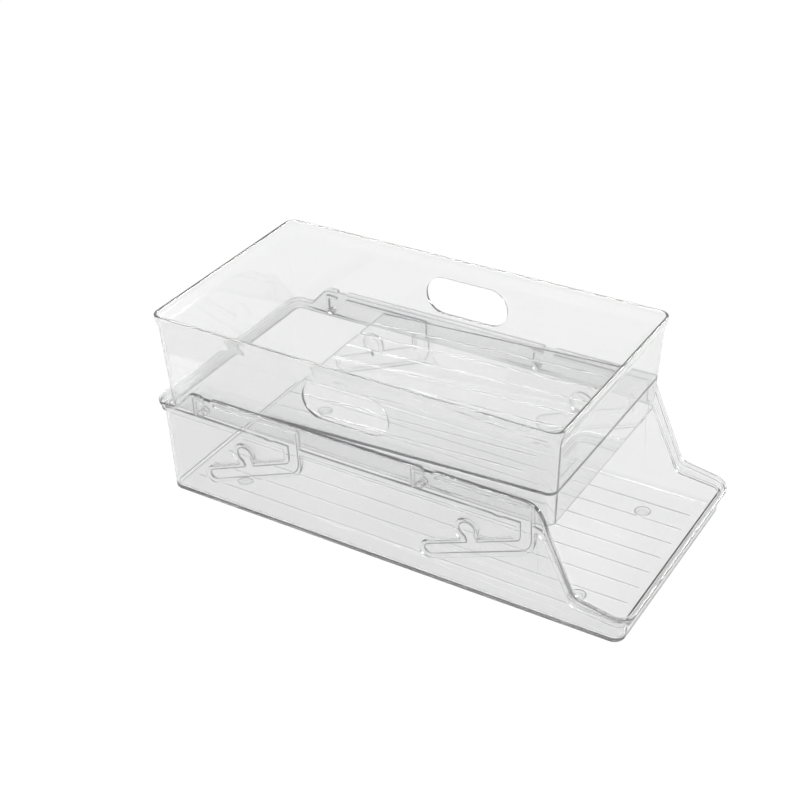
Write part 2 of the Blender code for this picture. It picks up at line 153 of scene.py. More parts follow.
def level_sheet(name, reach):
    """Makes a square sheet that lies on the ground."""
    mesh = bpy.data.meshes.new(name)
    corners = [(-reach, -reach, 0), (reach, -reach, 0), (reach, reach, 0), (-reach, reach, 0)]
    mesh.from_pydata(corners, [], [(0, 1, 2, 3)])
    made = bpy.data.objects.new(name, mesh)
    scene.collection.objects.link(made)
    return made


def table_white():
    """Gives the table's white, part glow and part matt."""
    made = bpy.data.materials.new("table_white")
    made.use_nodes = True
    nodes = made.node_tree
    nodes.nodes.clear()
    end, matt, glow, both = node_group_start(
        nodes, "ShaderNodeOutputMaterial", "ShaderNodeBsdfDiffuse", "ShaderNodeEmission", "ShaderNodeMixShader",
    )
    matt.inputs["Color"].default_value = floor_white
    glow.inputs["Color"].default_value = horizon_white
    glow.inputs["Strength"].default_value = floor_glow_strength
    both.inputs[0].default_value = floor_glow_share
    nodes.links.new(matt.outputs[0], both.inputs[1])
    nodes.links.new(glow.outputs[0], both.inputs[2])
    nodes.links.new(both.outputs[0], end.inputs["Surface"])
    return made


floor = level_sheet("floor", floor_reach)
floor.data.materials.append(table_white())
print("floor:", 2 * floor_reach, "m across")

# %% [markdown]
# ## The lamps
# Three soft lamps hang behind the object. They are there for their mirror images alone, the white
# lines on the rims and ribs, and the world lights what is matt. Two are long tubes along the
# object, for the edges and ribs that run that way, and one is for the edges that run across it.
# Lamps nearer to the camera could light it as well, but level faces would mirror them as patches.

# %% Lamps
def soft_lamp(name, stands, size, power):
    """Hangs a rectangular soft lamp, long side along the object, that only mirrors show."""
    light = bpy.data.lights.new(name, "AREA")
    light.shape = "RECTANGLE"
    light.size, light.size_y = size
    light.energy = power
    made = bpy.data.objects.new(name, light)
    scene.collection.objects.link(made)
    made.location = stands
    made.rotation_euler = (-atan2(stands[1], stands[2]), atan2(stands[0], stands[2]) * tip_share, 0)
    made.visible_diffuse = False
    return made


tip_share = 0.5  # how far a lamp is tipped endways towards the object
lamps = [
    soft_lamp("rim_lamp", (-0.58, -0.20, 1.14), (0.80, 0.30), 24),
    soft_lamp("rib_lamp", (-0.57, 0.54, 1.15), (0.90, 0.15), 17),
    soft_lamp("far_lamp", (0.80, 0.92, 0.47), (0.30, 0.40), 16),
]
print("lamps:", len(lamps))

# %% [markdown]
# ## Clear plastic
# The mouldings are clear styrene. Light passes it, bends in it and loses a little on the way, so
# that a look along a wall is darker than a look through it. The surface is polished, with the long
# shallow waves that the melt leaves as it flows, and faint scuffs. A small share of the light is
# scattered, which gives every wall the same faint haze. Glass could be a plain glass shader, but
# the principled one has the same bend and goes with the model when it is exported. The loss inside
# is a volume, because only that knows how far the light has travelled.

# %% Clear plastic
plastic_bend = 1.53
wave_stretch = (0.35, 1.0, 1.0)
wave_scale = 16
wave_depth = 0.0012
wave_strength = 0.05
scuff_scale = 260
scuff_detail = 4
scuff_start, scuff_full = 0.45, 0.80


def clear_plastic(name, pale, deep, smooth, rough, loss, clear_share):
    """Gives a clear moulding: colours pass between pale and deep, roughness between smooth and rough."""
    made = bpy.data.materials.new(name)
    made.use_nodes = True
    nodes = made.node_tree
    shader = nodes.nodes["Principled BSDF"]
    shader.inputs["IOR"].default_value = plastic_bend
    shader.inputs["Transmission Weight"].default_value = clear_share
    place, stretch, waves, relief, scuffs, rubbed, clouds, tint, inside = node_group_start(
        nodes, "ShaderNodeTexCoord", "ShaderNodeMapping", "ShaderNodeTexNoise", "ShaderNodeBump",
        "ShaderNodeTexNoise", "ShaderNodeMapRange", "ShaderNodeTexNoise", "ShaderNodeMix",
        "ShaderNodeVolumeAbsorption",
    )
    stretch.inputs["Scale"].default_value = wave_stretch
    waves.inputs["Scale"].default_value = wave_scale
    waves.inputs["Detail"].default_value = 1
    relief.inputs["Strength"].default_value = wave_strength
    relief.inputs["Distance"].default_value = wave_depth
    nodes.links.new(place.outputs["Object"], stretch.inputs["Vector"])
    nodes.links.new(stretch.outputs["Vector"], waves.inputs["Vector"])
    nodes.links.new(waves.outputs["Fac"], relief.inputs["Height"])
    nodes.links.new(relief.outputs["Normal"], shader.inputs["Normal"])

    scuffs.inputs["Scale"].default_value = scuff_scale
    scuffs.inputs["Detail"].default_value = scuff_detail
    rubbed.inputs["From Min"].default_value = scuff_start
    rubbed.inputs["From Max"].default_value = scuff_full
    rubbed.inputs["To Min"].default_value = smooth
    rubbed.inputs["To Max"].default_value = rough
    nodes.links.new(place.outputs["Object"], scuffs.inputs["Vector"])
    nodes.links.new(scuffs.outputs["Fac"], rubbed.inputs["Value"])
    nodes.links.new(rubbed.outputs["Result"], shader.inputs["Roughness"])

    clouds.inputs["Scale"].default_value = wave_scale
    tint.data_type = "RGBA"
    tint.inputs["A"].default_value = (*pale, 1)
    tint.inputs["B"].default_value = (*deep, 1)
    nodes.links.new(stretch.outputs["Vector"], clouds.inputs["Vector"])
    nodes.links.new(clouds.outputs["Fac"], tint.inputs["Factor"])
    nodes.links.new(tint.outputs["Result"], shader.inputs["Base Color"])

    inside.inputs["Color"].default_value = (*loss_colour, 1)
    inside.inputs["Density"].default_value = loss
    nodes.links.new(inside.outputs["Volume"], nodes.nodes["Material Output"].inputs["Volume"])
    return made


loss_colour = (0.560, 0.564, 0.565)
# The tray's colours are a painted shade. They are darker than the bin's because they paint in the shadow that the
# tray and the table under it stand in.
tray_pale_painted_shade = (0.930, 0.931, 0.931)
tray_deep_painted_shade = (0.905, 0.907, 0.907)
bin_pale = (0.955, 0.956, 0.956)
bin_deep = (0.935, 0.937, 0.937)
pin_pale = (0.995, 0.995, 0.995)
pin_deep = (0.985, 0.985, 0.985)
pad_pale = (0.990, 0.990, 0.990)
pad_deep = (0.975, 0.976, 0.976)
# The tray's material is the same clear plastic as the bin's, with a painted shade in its darker colours.
tray_plastic = clear_plastic("tray_plastic", tray_pale_painted_shade, tray_deep_painted_shade, 0.0, 0.03, 30, 0.93)
bin_plastic = clear_plastic("bin_plastic", bin_pale, bin_deep, 0.0, 0.03, 36, 0.93)
pin_plastic = clear_plastic("pin_plastic", pin_pale, pin_deep, 0.02, 0.06, 2, 0.98)
foot_pad = clear_plastic("foot_pad", pad_pale, pad_deep, 0.03, 0.10, 2, 0.98)
print("materials:", [tray_plastic.name, bin_plastic.name, pin_plastic.name, foot_pad.name])

# %% [markdown]
# ## How the shapes are made
# Both mouldings are made as a toolmaker cuts a mould: a block with the right outside, then the
# hollow taken out of it, then tracks, notches and holes cut across it. The blocks are lofts of
# round-cornered rings, and the cuts are outlines seen from the side. Each cut is applied at once,
# so that no helper is left over. The walls could be modelled face by face, but then the tracks
# would have to be woven into them by hand.

# %% Rings and lofts
corner_steps = 12
arc_steps = 12
round_steps = 48
overrun = 0.0200


def rounded_ring(rear, front, half_width, radius, height):
    """Lists the points of a level rectangle with round corners."""
    points = []
    corners = [(front, half_width, 0), (rear, half_width, 1), (rear, -half_width, 2), (front, -half_width, 3)]
    for x, y, quarter in corners:
        centre_x = x - radius if x == front else x + radius
        centre_y = y - radius if y > 0 else y + radius
        for step in range(corner_steps + 1):
            angle = (quarter + step / corner_steps) * pi / 2
            points.append((centre_x + radius * cos(angle), centre_y + radius * sin(angle), height))
    return points


def solid_from(name, rows):
    """Joins rows of points into one closed solid, first row to last."""
    mesh = bpy.data.meshes.new(name)
    shape = bmesh.new()
    placed = [[shape.verts.new(point) for point in row] for row in rows]
    shape.faces.new(placed[0])
    for low, high in zip(placed, placed[1:]):
        for index in range(len(low)):
            after = (index + 1) % len(low)
            shape.faces.new((low[index], low[after], high[after], high[index]))
    shape.faces.new(placed[-1])
    bmesh.ops.recalc_face_normals(shape, faces=shape.faces)
    shape.to_mesh(mesh)
    shape.free()
    made = bpy.data.objects.new(name, mesh)
    scene.collection.objects.link(made)
    return made


def side_solid(name, outline, y0, y1):
    """Makes a solid from an outline seen from the side, between two places across."""
    return solid_from(name, [[(x, y, z) for x, z in outline] for y in (y0, y1)])


def box_solid(name, low, high):
    """Makes a box from its lowest and highest corners."""
    outline = [(low[0], low[2]), (high[0], low[2]), (high[0], high[2]), (low[0], high[2])]
    return side_solid(name, outline, low[1], high[1])


print("helpers ready")

# %% [markdown]
# ## Cutting and joining
# Blender's Boolean modifier does the cutting. It is applied at once and the tool is thrown away.

# %% Cut
def reshape(target, tool, operation):
    """Cuts a tool out of a solid, joins it on, or keeps what both hold."""
    step = target.modifiers.new("cut", "BOOLEAN")
    step.operation = operation
    step.object = tool
    step.solver = "EXACT"
    graph = bpy.context.evaluated_depsgraph_get()
    shaped = bpy.data.meshes.new_from_object(target.evaluated_get(graph))
    target.modifiers.clear()
    old = target.data
    target.data = shaped
    bpy.data.meshes.remove(old)
    bpy.data.objects.remove(tool, do_unlink=True)
    return target


def joined(target, tool):
    return reshape(target, tool, "UNION")


def cut_out(target, tool):
    return reshape(target, tool, "DIFFERENCE")


def kept_in(target, tool):
    return reshape(target, tool, "INTERSECT")


print("cutting ready")

# %% [markdown]
# ## Lines with round corners
# The rim, the shoulder and the tracks are all lines seen from the side, with round corners. One
# helper rounds the corners of a line, and another gives a line its width and a round end.

# %% Lines
def rounded_line(corners, radii):
    """Rounds the inner corners of an open line, one radius for each."""
    points = [corners[0]]
    for before, corner, after, radius in zip(corners, corners[1:], corners[2:], radii):
        here = Vector(corner)
        back = (Vector(before) - here).normalized()
        ahead = (Vector(after) - here).normalized()
        opening = back.angle(ahead)
        reach = radius / tan(opening / 2)
        middle = here + (back + ahead).normalized() * (radius / sin(opening / 2))
        start = here + back * reach - middle
        turn = start.angle_signed(here + ahead * reach - middle)
        for step in range(arc_steps + 1):
            spun = Matrix.Rotation(-turn * step / arc_steps, 2) @ start
            points.append(tuple(middle + spun))
    points.append(corners[-1])
    return points


def ribbon(points, half_width):
    """Widens an open line into an outline with a round far end."""
    left = []
    right = []
    for index, point in enumerate(points):
        before = Vector(points[max(index - 1, 0)])
        after = Vector(points[min(index + 1, len(points) - 1)])
        along = (after - before).normalized()
        across = Vector((-along.y, along.x)) * half_width
        left.append(tuple(Vector(point) + across))
        right.append(tuple(Vector(point) - across))
    end = Vector(points[-1])
    facing = end - Vector(points[-2])
    heading = atan2(facing.y, facing.x)
    cap = []
    for step in range(1, arc_steps):
        angle = heading + pi / 2 - pi * step / arc_steps
        cap.append((end.x + half_width * cos(angle), end.y + half_width * sin(angle)))
    return left + cap + list(reversed(right))


def circle_outline(x, z, radius):
    """Lists the points of a circle seen from the side."""
    turns = [2 * pi * step / round_steps for step in range(round_steps)]
    return [(x + radius * cos(angle), z + radius * sin(angle)) for angle in turns]


print("lines ready")

# %% [markdown]
# ## The ribs, by Geometry Nodes
# Eight fine ribs run along the tray's floor and along the deck, and the cans roll on them. They
# repeat at an even pitch, so Geometry Nodes lay them out: a line of points across, one bar on each
# point. The count, pitch and sizes are inputs of the modifier, so the same tree makes both rows.
# The bars are round and lie sunk in the floor, so that only a low dome of each stands up. They
# could be made in a loop, but a tree can be changed by hand afterwards.

# %% Rib tree
def rib_tree():
    """Builds the tree that lays a row of bars across the object."""
    made = bpy.data.node_groups.new("rib_row", "GeometryNodeTree")
    made.interface.new_socket("Geometry", in_out="OUTPUT", socket_type="NodeSocketGeometry")
    sockets = {}
    for label, kind in (("Count", "NodeSocketInt"), ("Pitch", "NodeSocketFloat"), ("Length", "NodeSocketFloat"),
                        ("Radius", "NodeSocketFloat"), ("Finish", "NodeSocketMaterial")):
        sockets[label] = made.interface.new_socket(label, in_out="INPUT", socket_type=kind).identifier
    given, line, step_across, bar, half, one_less, start_at, start, lay, real, dress, end = node_group_start(
        made, "NodeGroupInput", "GeometryNodeMeshLine", "ShaderNodeCombineXYZ", "GeometryNodeMeshCylinder",
        "ShaderNodeMath", "ShaderNodeMath", "ShaderNodeMath", "ShaderNodeCombineXYZ",
        "GeometryNodeInstanceOnPoints", "GeometryNodeRealizeInstances", "GeometryNodeSetMaterial",
        "NodeGroupOutput",
    )
    join = made.links.new
    join(given.outputs["Count"], one_less.inputs[0])
    one_less.operation = "SUBTRACT"
    one_less.inputs[1].default_value = 1
    half.operation = "MULTIPLY"
    half.inputs[1].default_value = -0.5
    join(one_less.outputs[0], half.inputs[0])
    start_at.operation = "MULTIPLY"
    join(half.outputs[0], start_at.inputs[0])
    join(given.outputs["Pitch"], start_at.inputs[1])
    join(start_at.outputs[0], start.inputs["Y"])
    join(given.outputs["Pitch"], step_across.inputs["Y"])
    join(given.outputs["Count"], line.inputs["Count"])
    join(start.outputs[0], line.inputs["Start Location"])
    join(step_across.outputs[0], line.inputs["Offset"])
    bar.inputs["Vertices"].default_value = round_steps
    join(given.outputs["Radius"], bar.inputs["Radius"])
    join(given.outputs["Length"], bar.inputs["Depth"])
    lay.inputs["Rotation"].default_value = (0, pi / 2, 0)
    join(line.outputs["Mesh"], lay.inputs["Points"])
    join(bar.outputs["Mesh"], lay.inputs["Instance"])
    join(lay.outputs["Instances"], real.inputs["Geometry"])
    join(real.outputs["Geometry"], dress.inputs["Geometry"])
    join(given.outputs["Finish"], dress.inputs["Material"])
    join(dress.outputs["Geometry"], end.inputs[0])
    return made, sockets


rib_row, rib_sockets = rib_tree()
print("rib tree:", len(rib_row.nodes), "nodes")


# %% Lay a row of ribs
def lay_ribs(name, length, finish):
    """Runs the rib tree and returns its bars as one plain mesh object, centred at the origin."""
    made = bpy.data.objects.new(name, bpy.data.meshes.new(name))
    scene.collection.objects.link(made)
    run = made.modifiers.new("ribs", "NODES")
    run.node_group = rib_row
    values = {"Count": rib_count, "Pitch": rib_pitch, "Length": length, "Radius": rib_radius, "Finish": finish}
    for label, value in values.items():
        run[rib_sockets[label]] = value
    graph = bpy.context.evaluated_depsgraph_get()
    plain = bpy.data.meshes.new_from_object(made.evaluated_get(graph))
    made.modifiers.clear()
    made.data = plain
    print(name, "has", len(plain.polygons), "faces")
    return made


def move_mesh(piece, matrix):
    """Moves a piece's mesh, so that its object stays at the origin."""
    piece.data.transform(matrix)
    return piece


print("rib rows ready")

# %% [markdown]
# ## Sizes of the tray
# These are the sizes of the solid model, in metres, apart from the round corners, the fillets at
# the floor and the domes of the ribs, which follow the photograph. Heights are counted from the
# tray's underside, which the pads lift a millimetre off the table.

# %% Tray sizes
foot_stand = 0.0010
tray_length = 0.3441
tray_half_width = 0.0800
tray_corner_radius = 0.0075
wall = 0.0020
tray_floor = 0.0022
tray_bottom_round = 0.0020
hollow_bottom_round = 0.0030
side_lean, rear_lean, lip_lean = 0.0012, 0.0003, 0.0027
ledge_height = 0.0700
lip_height = 0.0225
rear_rim_height = ledge_height + 0.0043
raised_rim_height = ledge_height + 0.0192
shoulder_step = 0.0023
bead_step = 0.0013
bead_height = 0.0029
bead_shift_back = 0.0013
rib_count = 8
rib_pitch = 0.01715
rib_radius = 0.0009
rib_rise = 0.00025
rib_height = 0.0006
touch_gap = 0.0003

tray_base = foot_stand
floor_top = tray_base + tray_floor
rear_overhang = rear_lean * rear_rim_height / raised_rim_height
tray_rear = -(tray_length + lip_lean - rear_overhang) / 2
tray_front = tray_rear + tray_length
loft_top = tray_base + raised_rim_height + overrun
far_side = tray_half_width + overrun

pin_radius = 0.0032
pin_height = tray_base + ledge_height + touch_gap + pin_radius
pin_places = {"rear": tray_rear + 0.0358, "front": tray_front - 0.1380}
track_width = 2 * pin_radius + 0.0012
print("tray from", round(tray_rear, 4), "to", round(tray_front, 4))

# %% [markdown]
# ## The tray's block
# The tray's walls lean out a little, so that it leaves its mould, and the lip in front leans most.
# One loft, set out or in by an offset, gives the outside, the hollow, the shoulder and the bead.

# %% Tray loft
def tray_loft(name, offset, base, bottom_round):
    """Makes the tray's block, set out from its wall by an offset, from a base height up."""
    levels = [(base, 0), (loft_top, 0)]
    if bottom_round > 0:
        levels = []
        for step in range(arc_steps // 2 + 1):
            angle = pi / 2 * step / (arc_steps // 2)
            levels.append((base + bottom_round * (1 - cos(angle)), bottom_round * (1 - sin(angle))))
        levels.append((loft_top, 0))
    rings = []
    for height, inset in levels:
        share = (height - tray_base) / raised_rim_height
        lip_share = (height - tray_base) / lip_height
        reach = offset - inset
        rear = tray_rear - rear_lean * share - reach
        front = tray_front + lip_lean * lip_share + reach
        half = tray_half_width + side_lean * share + reach
        rings.append(rounded_ring(rear, front, half, tray_corner_radius + reach, height))
    return solid_from(name, rings)


def wall_inner(height):
    """Gives the half width between the tray's walls at a height."""
    return tray_half_width + side_lean * (height - tray_base) / raised_rim_height - wall


print("tray loft ready")

# %% [markdown]
# ## The rim and the shoulder
# Seen from the side, the rim is low in the rear, climbs to the raised part that hides the tracks,
# and sweeps down in an S to the lip. The shoulder runs below it: a band that stands outside the
# wall, and whose inner step is the ledge that the guide pins rest on.

# %% Rim and shoulder
def rim_line(shift_x, shift_z):
    """Gives the tray's rim seen from the side: low in the rear, raised, then down to the lip."""
    fall = tray_length - 0.0553
    foot = fall + 0.0257
    foot_rise = 0.0055
    drop = foot_rise / (tray_length - foot)
    corners = [
        (-overrun, rear_rim_height),
        (0.0158, rear_rim_height),
        (0.0298, raised_rim_height),
        (fall, raised_rim_height),
        (foot, lip_height + foot_rise),
        (tray_length + overrun, lip_height - drop * overrun),
    ]
    line = rounded_line(corners, [0.0080, 0.0080, 0.0140, 0.0090])
    return [(tray_rear + x + shift_x, tray_base + z + shift_z) for x, z in line]


def shoulder_line(shift_x, shift_z):
    """Gives the shoulder's line seen from the side, which follows the rim down in front."""
    level = ledge_height - 0.0031
    fall = tray_length - 0.0538
    corners = [
        (-overrun, level),
        (fall, level),
        (fall + 0.0216, lip_height - 0.0039),
        (tray_length + overrun, lip_height - 0.0095),
    ]
    line = rounded_line(corners, [0.0070, 0.0070])
    return [(tray_rear + x + shift_x, tray_base + z + shift_z) for x, z in line]


def above(name, line):
    """Makes the solid above a line, right across the tray."""
    high = loft_top + overrun
    outline = list(line) + [(line[-1][0], high), (line[0][0], high)]
    return side_solid(name, outline, -far_side, far_side)


print("rim:", len(rim_line(0, 0)), "points")

# %% [markdown]
# ## The tracks
# Each side wall has two tracks, one for each pin. A pin drops in through a notch in the rim, rests
# behind it on the ledge, and slides forward along the ledge to a shallow dip. At the end the track
# turns down and comes back along a sloping leg, with a round snap pocket on it. Outside, each track
# stands out of the wall with a border, and inside it is a groove.

# %% Tracks
turn_from_pin = 0.0741
turn_radius = 0.0080
leg_end_from_pin = 0.0056
pocket_from_pin = 0.0380
pocket_rise = 0.0129
pocket_play = 0.0025
track_border = 0.0028
leg_slope = radians(22.3)
leg_corner = tray_base + ledge_height - 0.0163


def track_line(pin_x):
    """Gives the middle of one track below the ledge: down the turn, then back along the leg."""
    turn_x = pin_x + turn_from_pin
    end_x = pin_x + leg_end_from_pin
    end_z = leg_corner - (turn_x - end_x) * tan(leg_slope)
    top = tray_base + ledge_height + track_width / 2
    return rounded_line([(turn_x, top), (turn_x, leg_corner), (end_x, end_z)], [turn_radius])


def track_solid(name, pin_x, border):
    """Makes one track with its snap pocket, across the whole tray."""
    half = track_width / 2 + border
    leg = side_solid(name, ribbon(track_line(pin_x), half), -far_side, far_side)
    foot_x = pin_x + pocket_from_pin
    foot_z = leg_corner - (turn_from_pin - pocket_from_pin) * tan(leg_slope)
    centre = (foot_x - pocket_rise * sin(leg_slope), foot_z + pocket_rise * cos(leg_slope))
    ring = circle_outline(*centre, pin_radius + pocket_play + border)
    joined(leg, side_solid("neck", ribbon([centre, (foot_x, foot_z)], half), -far_side, far_side))
    return joined(leg, side_solid("pocket", ring, -far_side, far_side))


def raised_region(name, line, border):
    """Makes the side region that stands out: all above a line, and both tracks."""
    region = above(name, line)
    for place, pin_x in pin_places.items():
        joined(region, track_solid(place + "_track", pin_x, border))
    return region


print("track turns at", [round(x + turn_from_pin, 4) for x in pin_places.values()])

# %% [markdown]
# ## Notches, keepers and dips
# A rib above each track keeps the pin down, with a stop at each end and a gap where the pin is put
# in. The dip at the forward end of the slide is cut into the ledge.

# %% Keepers
entry_from_pin = 0.0075
entry_half = pin_radius + 0.0009
notch_depth = 0.0016
keeper_height = pin_height + pin_radius + 0.0058
keeper_thickness = 0.0020
stop_thickness = 0.0022
slide_travel = 0.0550


def entry_ends(pin_x):
    """Gives both ends of the notch through which a pin drops into its track."""
    return pin_x + entry_from_pin - entry_half, pin_x + entry_from_pin + entry_half


def track_keepers(side, pin_x):
    """Makes the ribs that close one track above."""
    high = keeper_height + keeper_thickness
    inner = wall_inner(keeper_height)
    y0, y1 = sorted((side * inner, side * (inner + shoulder_step + wall / 2)))
    start = pin_x - pin_radius - touch_gap - stop_thickness
    end = pin_x + turn_from_pin + track_width / 2 + stop_thickness
    entry_start, entry_end = entry_ends(pin_x)
    sill = tray_base + ledge_height - wall / 2
    spans = [
        (start, entry_start, keeper_height),
        (entry_end, end, keeper_height),
        (start, start + stop_thickness, sill),
        (end - stop_thickness, end, sill),
    ]
    return [box_solid("keeper", (x0, y0, z0), (x1, y1, high)) for x0, x1, z0 in spans]


def dip_cut(pin_x):
    """Makes the shallow dip that holds a pin at the forward end of its slide."""
    depth = 0.0008
    half = pin_radius + 0.0008
    sill = tray_base + ledge_height
    radius = (half * half + depth * depth) / (2 * depth)
    reach = atan2(half, radius - depth)
    middle = pin_x + slide_travel
    points = []
    for step in range(arc_steps + 1):
        angle = -pi / 2 - reach + 2 * reach * step / arc_steps
        points.append((middle + radius * cos(angle), sill + radius - depth + radius * sin(angle)))
    points += [(middle + half, sill + depth), (middle - half, sill + depth)]
    across = wall_inner(sill) + shoulder_step
    return side_solid("dip", points, -across, across)


print("keepers at", round(keeper_height, 4))

# %% [markdown]
# ## Round solids
# Pads, pins and the seats of the pads are turned shapes: a profile, spun about an axis. The pins'
# barrels are drawn in between four lobes, as the bright ends in the photograph are.

# %% Turned shapes
lobe_depth = 0.0009


def turned(name, profile, lobed_rows=()):
    """Spins a profile of (radius, height) points about the Z axis, with four lobes in some rows."""
    mesh = bpy.data.meshes.new(name)
    shape = bmesh.new()
    rows = []
    for row, (radius, height) in enumerate(profile):
        if radius == 0:
            rows.append([shape.verts.new((0, 0, height))])
            continue
        depth = lobe_depth if row in lobed_rows else 0
        points = []
        for step in range(round_steps):
            angle = 2 * pi * step / round_steps
            reach = radius - depth * (1 - cos(4 * angle)) / 2
            points.append(shape.verts.new((reach * cos(angle), reach * sin(angle), height)))
        rows.append(points)
    for upper, lower in zip(rows, rows[1:]):
        for index in range(round_steps):
            after = (index + 1) % round_steps
            ring = [upper[index % len(upper)], upper[after % len(upper)],
                    lower[after % len(lower)], lower[index % len(lower)]]
            shape.faces.new(list(dict.fromkeys(ring)))
    bmesh.ops.recalc_face_normals(shape, faces=shape.faces)
    shape.to_mesh(mesh)
    shape.free()
    made = bpy.data.objects.new(name, mesh)
    scene.collection.objects.link(made)
    return made


print("turning ready")

# %% [markdown]
# ## Rounding the edges
# Light catches on the edges of clear plastic, and a moulded edge is never sharp. The rims are
# rounded most. Each edge gets a share of the widest rounding as its bevel weight, the Bevel
# modifier rounds it, and Weighted Normal keeps the flat faces flat. Long U-shaped faces, such as
# the ledge, are first split across, because a rounding that meets itself there would fill the U.
# Subdivision could round edges too, but it would pull the thin walls out of shape.

# %% Round the edges
rim_rounding = 0.0008
edge_share = 0.60
sharp_turn = radians(28)
crease_turn = radians(34)
flat_turn = radians(0.5)
weld_reach = 0.00002
split_places = [-0.1650, -0.1000, -0.0500, 0.0000, 0.0500, 0.1000, 0.1160, 0.1650]


def round_edges(piece, is_rim, segments):
    """Cleans a solid and rounds its sharp edges, and the rims most."""
    shape = bmesh.new()
    shape.from_mesh(piece.data)
    bmesh.ops.remove_doubles(shape, verts=shape.verts, dist=weld_reach)
    bmesh.ops.dissolve_degenerate(shape, edges=shape.edges, dist=weld_reach)
    bmesh.ops.dissolve_limit(shape, angle_limit=flat_turn, verts=shape.verts, edges=shape.edges)
    for cut_x in split_places:
        everything = list(shape.verts) + list(shape.edges) + list(shape.faces)
        bmesh.ops.bisect_plane(shape, geom=everything, dist=0.00001, plane_co=(cut_x, 0, 0), plane_no=(1, 0, 0))
    weights = shape.edges.layers.float.new("bevel_weight_edge")
    for edge in shape.edges:
        if edge.is_manifold and edge.calc_face_angle() > sharp_turn:
            on_rim = all(is_rim(corner.co) for corner in edge.verts)
            edge[weights] = 1 if on_rim else edge_share
    shape.to_mesh(piece.data)
    shape.free()
    bevel = piece.modifiers.new("rounding", "BEVEL")
    bevel.width = rim_rounding
    bevel.segments = segments
    bevel.limit_method = "WEIGHT"
    bevel.use_clamp_overlap = False
    graph = bpy.context.evaluated_depsgraph_get()
    rounded = bpy.data.meshes.new_from_object(piece.evaluated_get(graph))
    piece.modifiers.clear()
    piece.data = rounded
    return piece


def finish_normals(piece):
    """Keeps flat faces flat and curved ones smooth, and makes the result plain."""
    shape = bmesh.new()
    shape.from_mesh(piece.data)
    for edge in shape.edges:
        edge.smooth = edge.is_manifold and edge.calc_face_angle() < crease_turn
    for face in shape.faces:
        face.smooth = True
    shape.to_mesh(piece.data)
    shape.free()
    flat = piece.modifiers.new("flat_faces", "WEIGHTED_NORMAL")
    flat.mode = "FACE_AREA"
    flat.weight = 50
    flat.keep_sharp = True
    graph = bpy.context.evaluated_depsgraph_get()
    plain = bpy.data.meshes.new_from_object(piece.evaluated_get(graph))
    piece.modifiers.clear()
    piece.data = plain
    return piece


def triangle_count(piece):
    return sum(len(face.vertices) - 2 for face in piece.data.polygons)


print("rounding ready")

# %% [markdown]
# ## The tray
# The block comes first, then the band of the shoulder and the bead under the rim, then the hollow
# and the grooves. The rim line cuts everything above it away, and the notches, dips, ribs and pad
# seats come last.

# %% Tray walls
tray = tray_loft("clear_tray", 0, tray_base, tray_bottom_round)
band = tray_loft("band", shoulder_step, floor_top, 0)
kept_in(band, raised_region("band_region", shoulder_line(0, 0), track_border))
joined(tray, band)
bead = tray_loft("bead", shoulder_step + bead_step, floor_top, 0)
kept_in(bead, above("bead_region", rim_line(-bead_shift_back, -bead_height)))
joined(tray, bead)
cut_out(tray, tray_loft("hollow", -wall, floor_top, hollow_bottom_round))
groove = tray_loft("groove", shoulder_step - wall, floor_top + rib_height, 0)
kept_in(groove, raised_region("groove_region", shoulder_line(0.0013, 0.0031), 0))
cut_out(tray, groove)
print("tray walls:", len(tray.data.polygons), "faces")

# %% Tray rim, keepers and notches
for side in (1, -1):
    for pin_x in pin_places.values():
        for keeper in track_keepers(side, pin_x):
            joined(tray, keeper)
cut_out(tray, above("over_rim", rim_line(0, 0)))
rim_top = tray_base + raised_rim_height
for pin_x in pin_places.values():
    entry_start, entry_end = entry_ends(pin_x)
    low, high = (entry_start, -far_side, rim_top - notch_depth), (entry_end, far_side, loft_top)
    cut_out(tray, box_solid("notch", low, high))
    cut_out(tray, dip_cut(pin_x))
print("tray with rim:", len(tray.data.polygons), "faces")

# %% Pad seats
foot_radius = 0.0050
foot_thickness = 0.0018
foot_inset = 0.0428
foot_across = 0.0500
foot_places = {}
for place, x in (("rear", tray_rear + foot_inset), ("front", tray_front - foot_inset)):
    for hand, y in (("left", foot_across), ("right", -foot_across)):
        foot_places[f"{place}_{hand}"] = (x, y)
seat_top = foot_thickness - foot_stand + touch_gap
for x, y in foot_places.values():
    seat_radius = foot_radius + touch_gap
    seat = turned("seat", [(0, seat_top), (seat_radius, seat_top), (seat_radius, -overrun), (0, -overrun)])
    cut_out(tray, move_mesh(seat, Matrix.Translation((x, y, tray_base))))
print("tray with seats:", len(tray.data.polygons), "faces")


# %% Tray edges
def height_on(line, x):
    """Gives the height of a line seen from the side at a place along it."""
    for (x0, z0), (x1, z1) in zip(line, line[1:]):
        if x0 <= x <= x1:
            return z0 + (z1 - z0) * (x - x0) / (x1 - x0)
    return line[-1][1]


rim_seen = rim_line(0, 0)
rim_reach = 0.0002
round_edges(tray, lambda spot: abs(spot.z - height_on(rim_seen, spot.x)) < rim_reach, 3)
print("tray rounded:", triangle_count(tray), "triangles")

# %% Tray ribs
tray_rib_start = tray_rear + 0.0098
tray_rib_end = tray_front - 0.0118
tray_ribs = lay_ribs("tray_ribs", tray_rib_end - tray_rib_start, tray_plastic)
rib_middle = ((tray_rib_start + tray_rib_end) / 2, 0, floor_top + rib_rise - rib_radius)
joined(tray, move_mesh(tray_ribs, Matrix.Translation(rib_middle)))
finish_normals(tray)
tray.data.materials.clear()
tray.data.materials.append(tray_plastic)
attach(tray, "tray")
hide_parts("lower_tray")
print("tray:", triangle_count(tray), "triangles")

# %% [markdown]
# ## The bin
# The bin is a rounded box without a bottom. Its walls lean out, its rim flares in a soft S, and a
# deck slopes down to the rear. The deck stops short of the rear wall, and there the cans drop
# through. A hand hole is cut through each long wall.

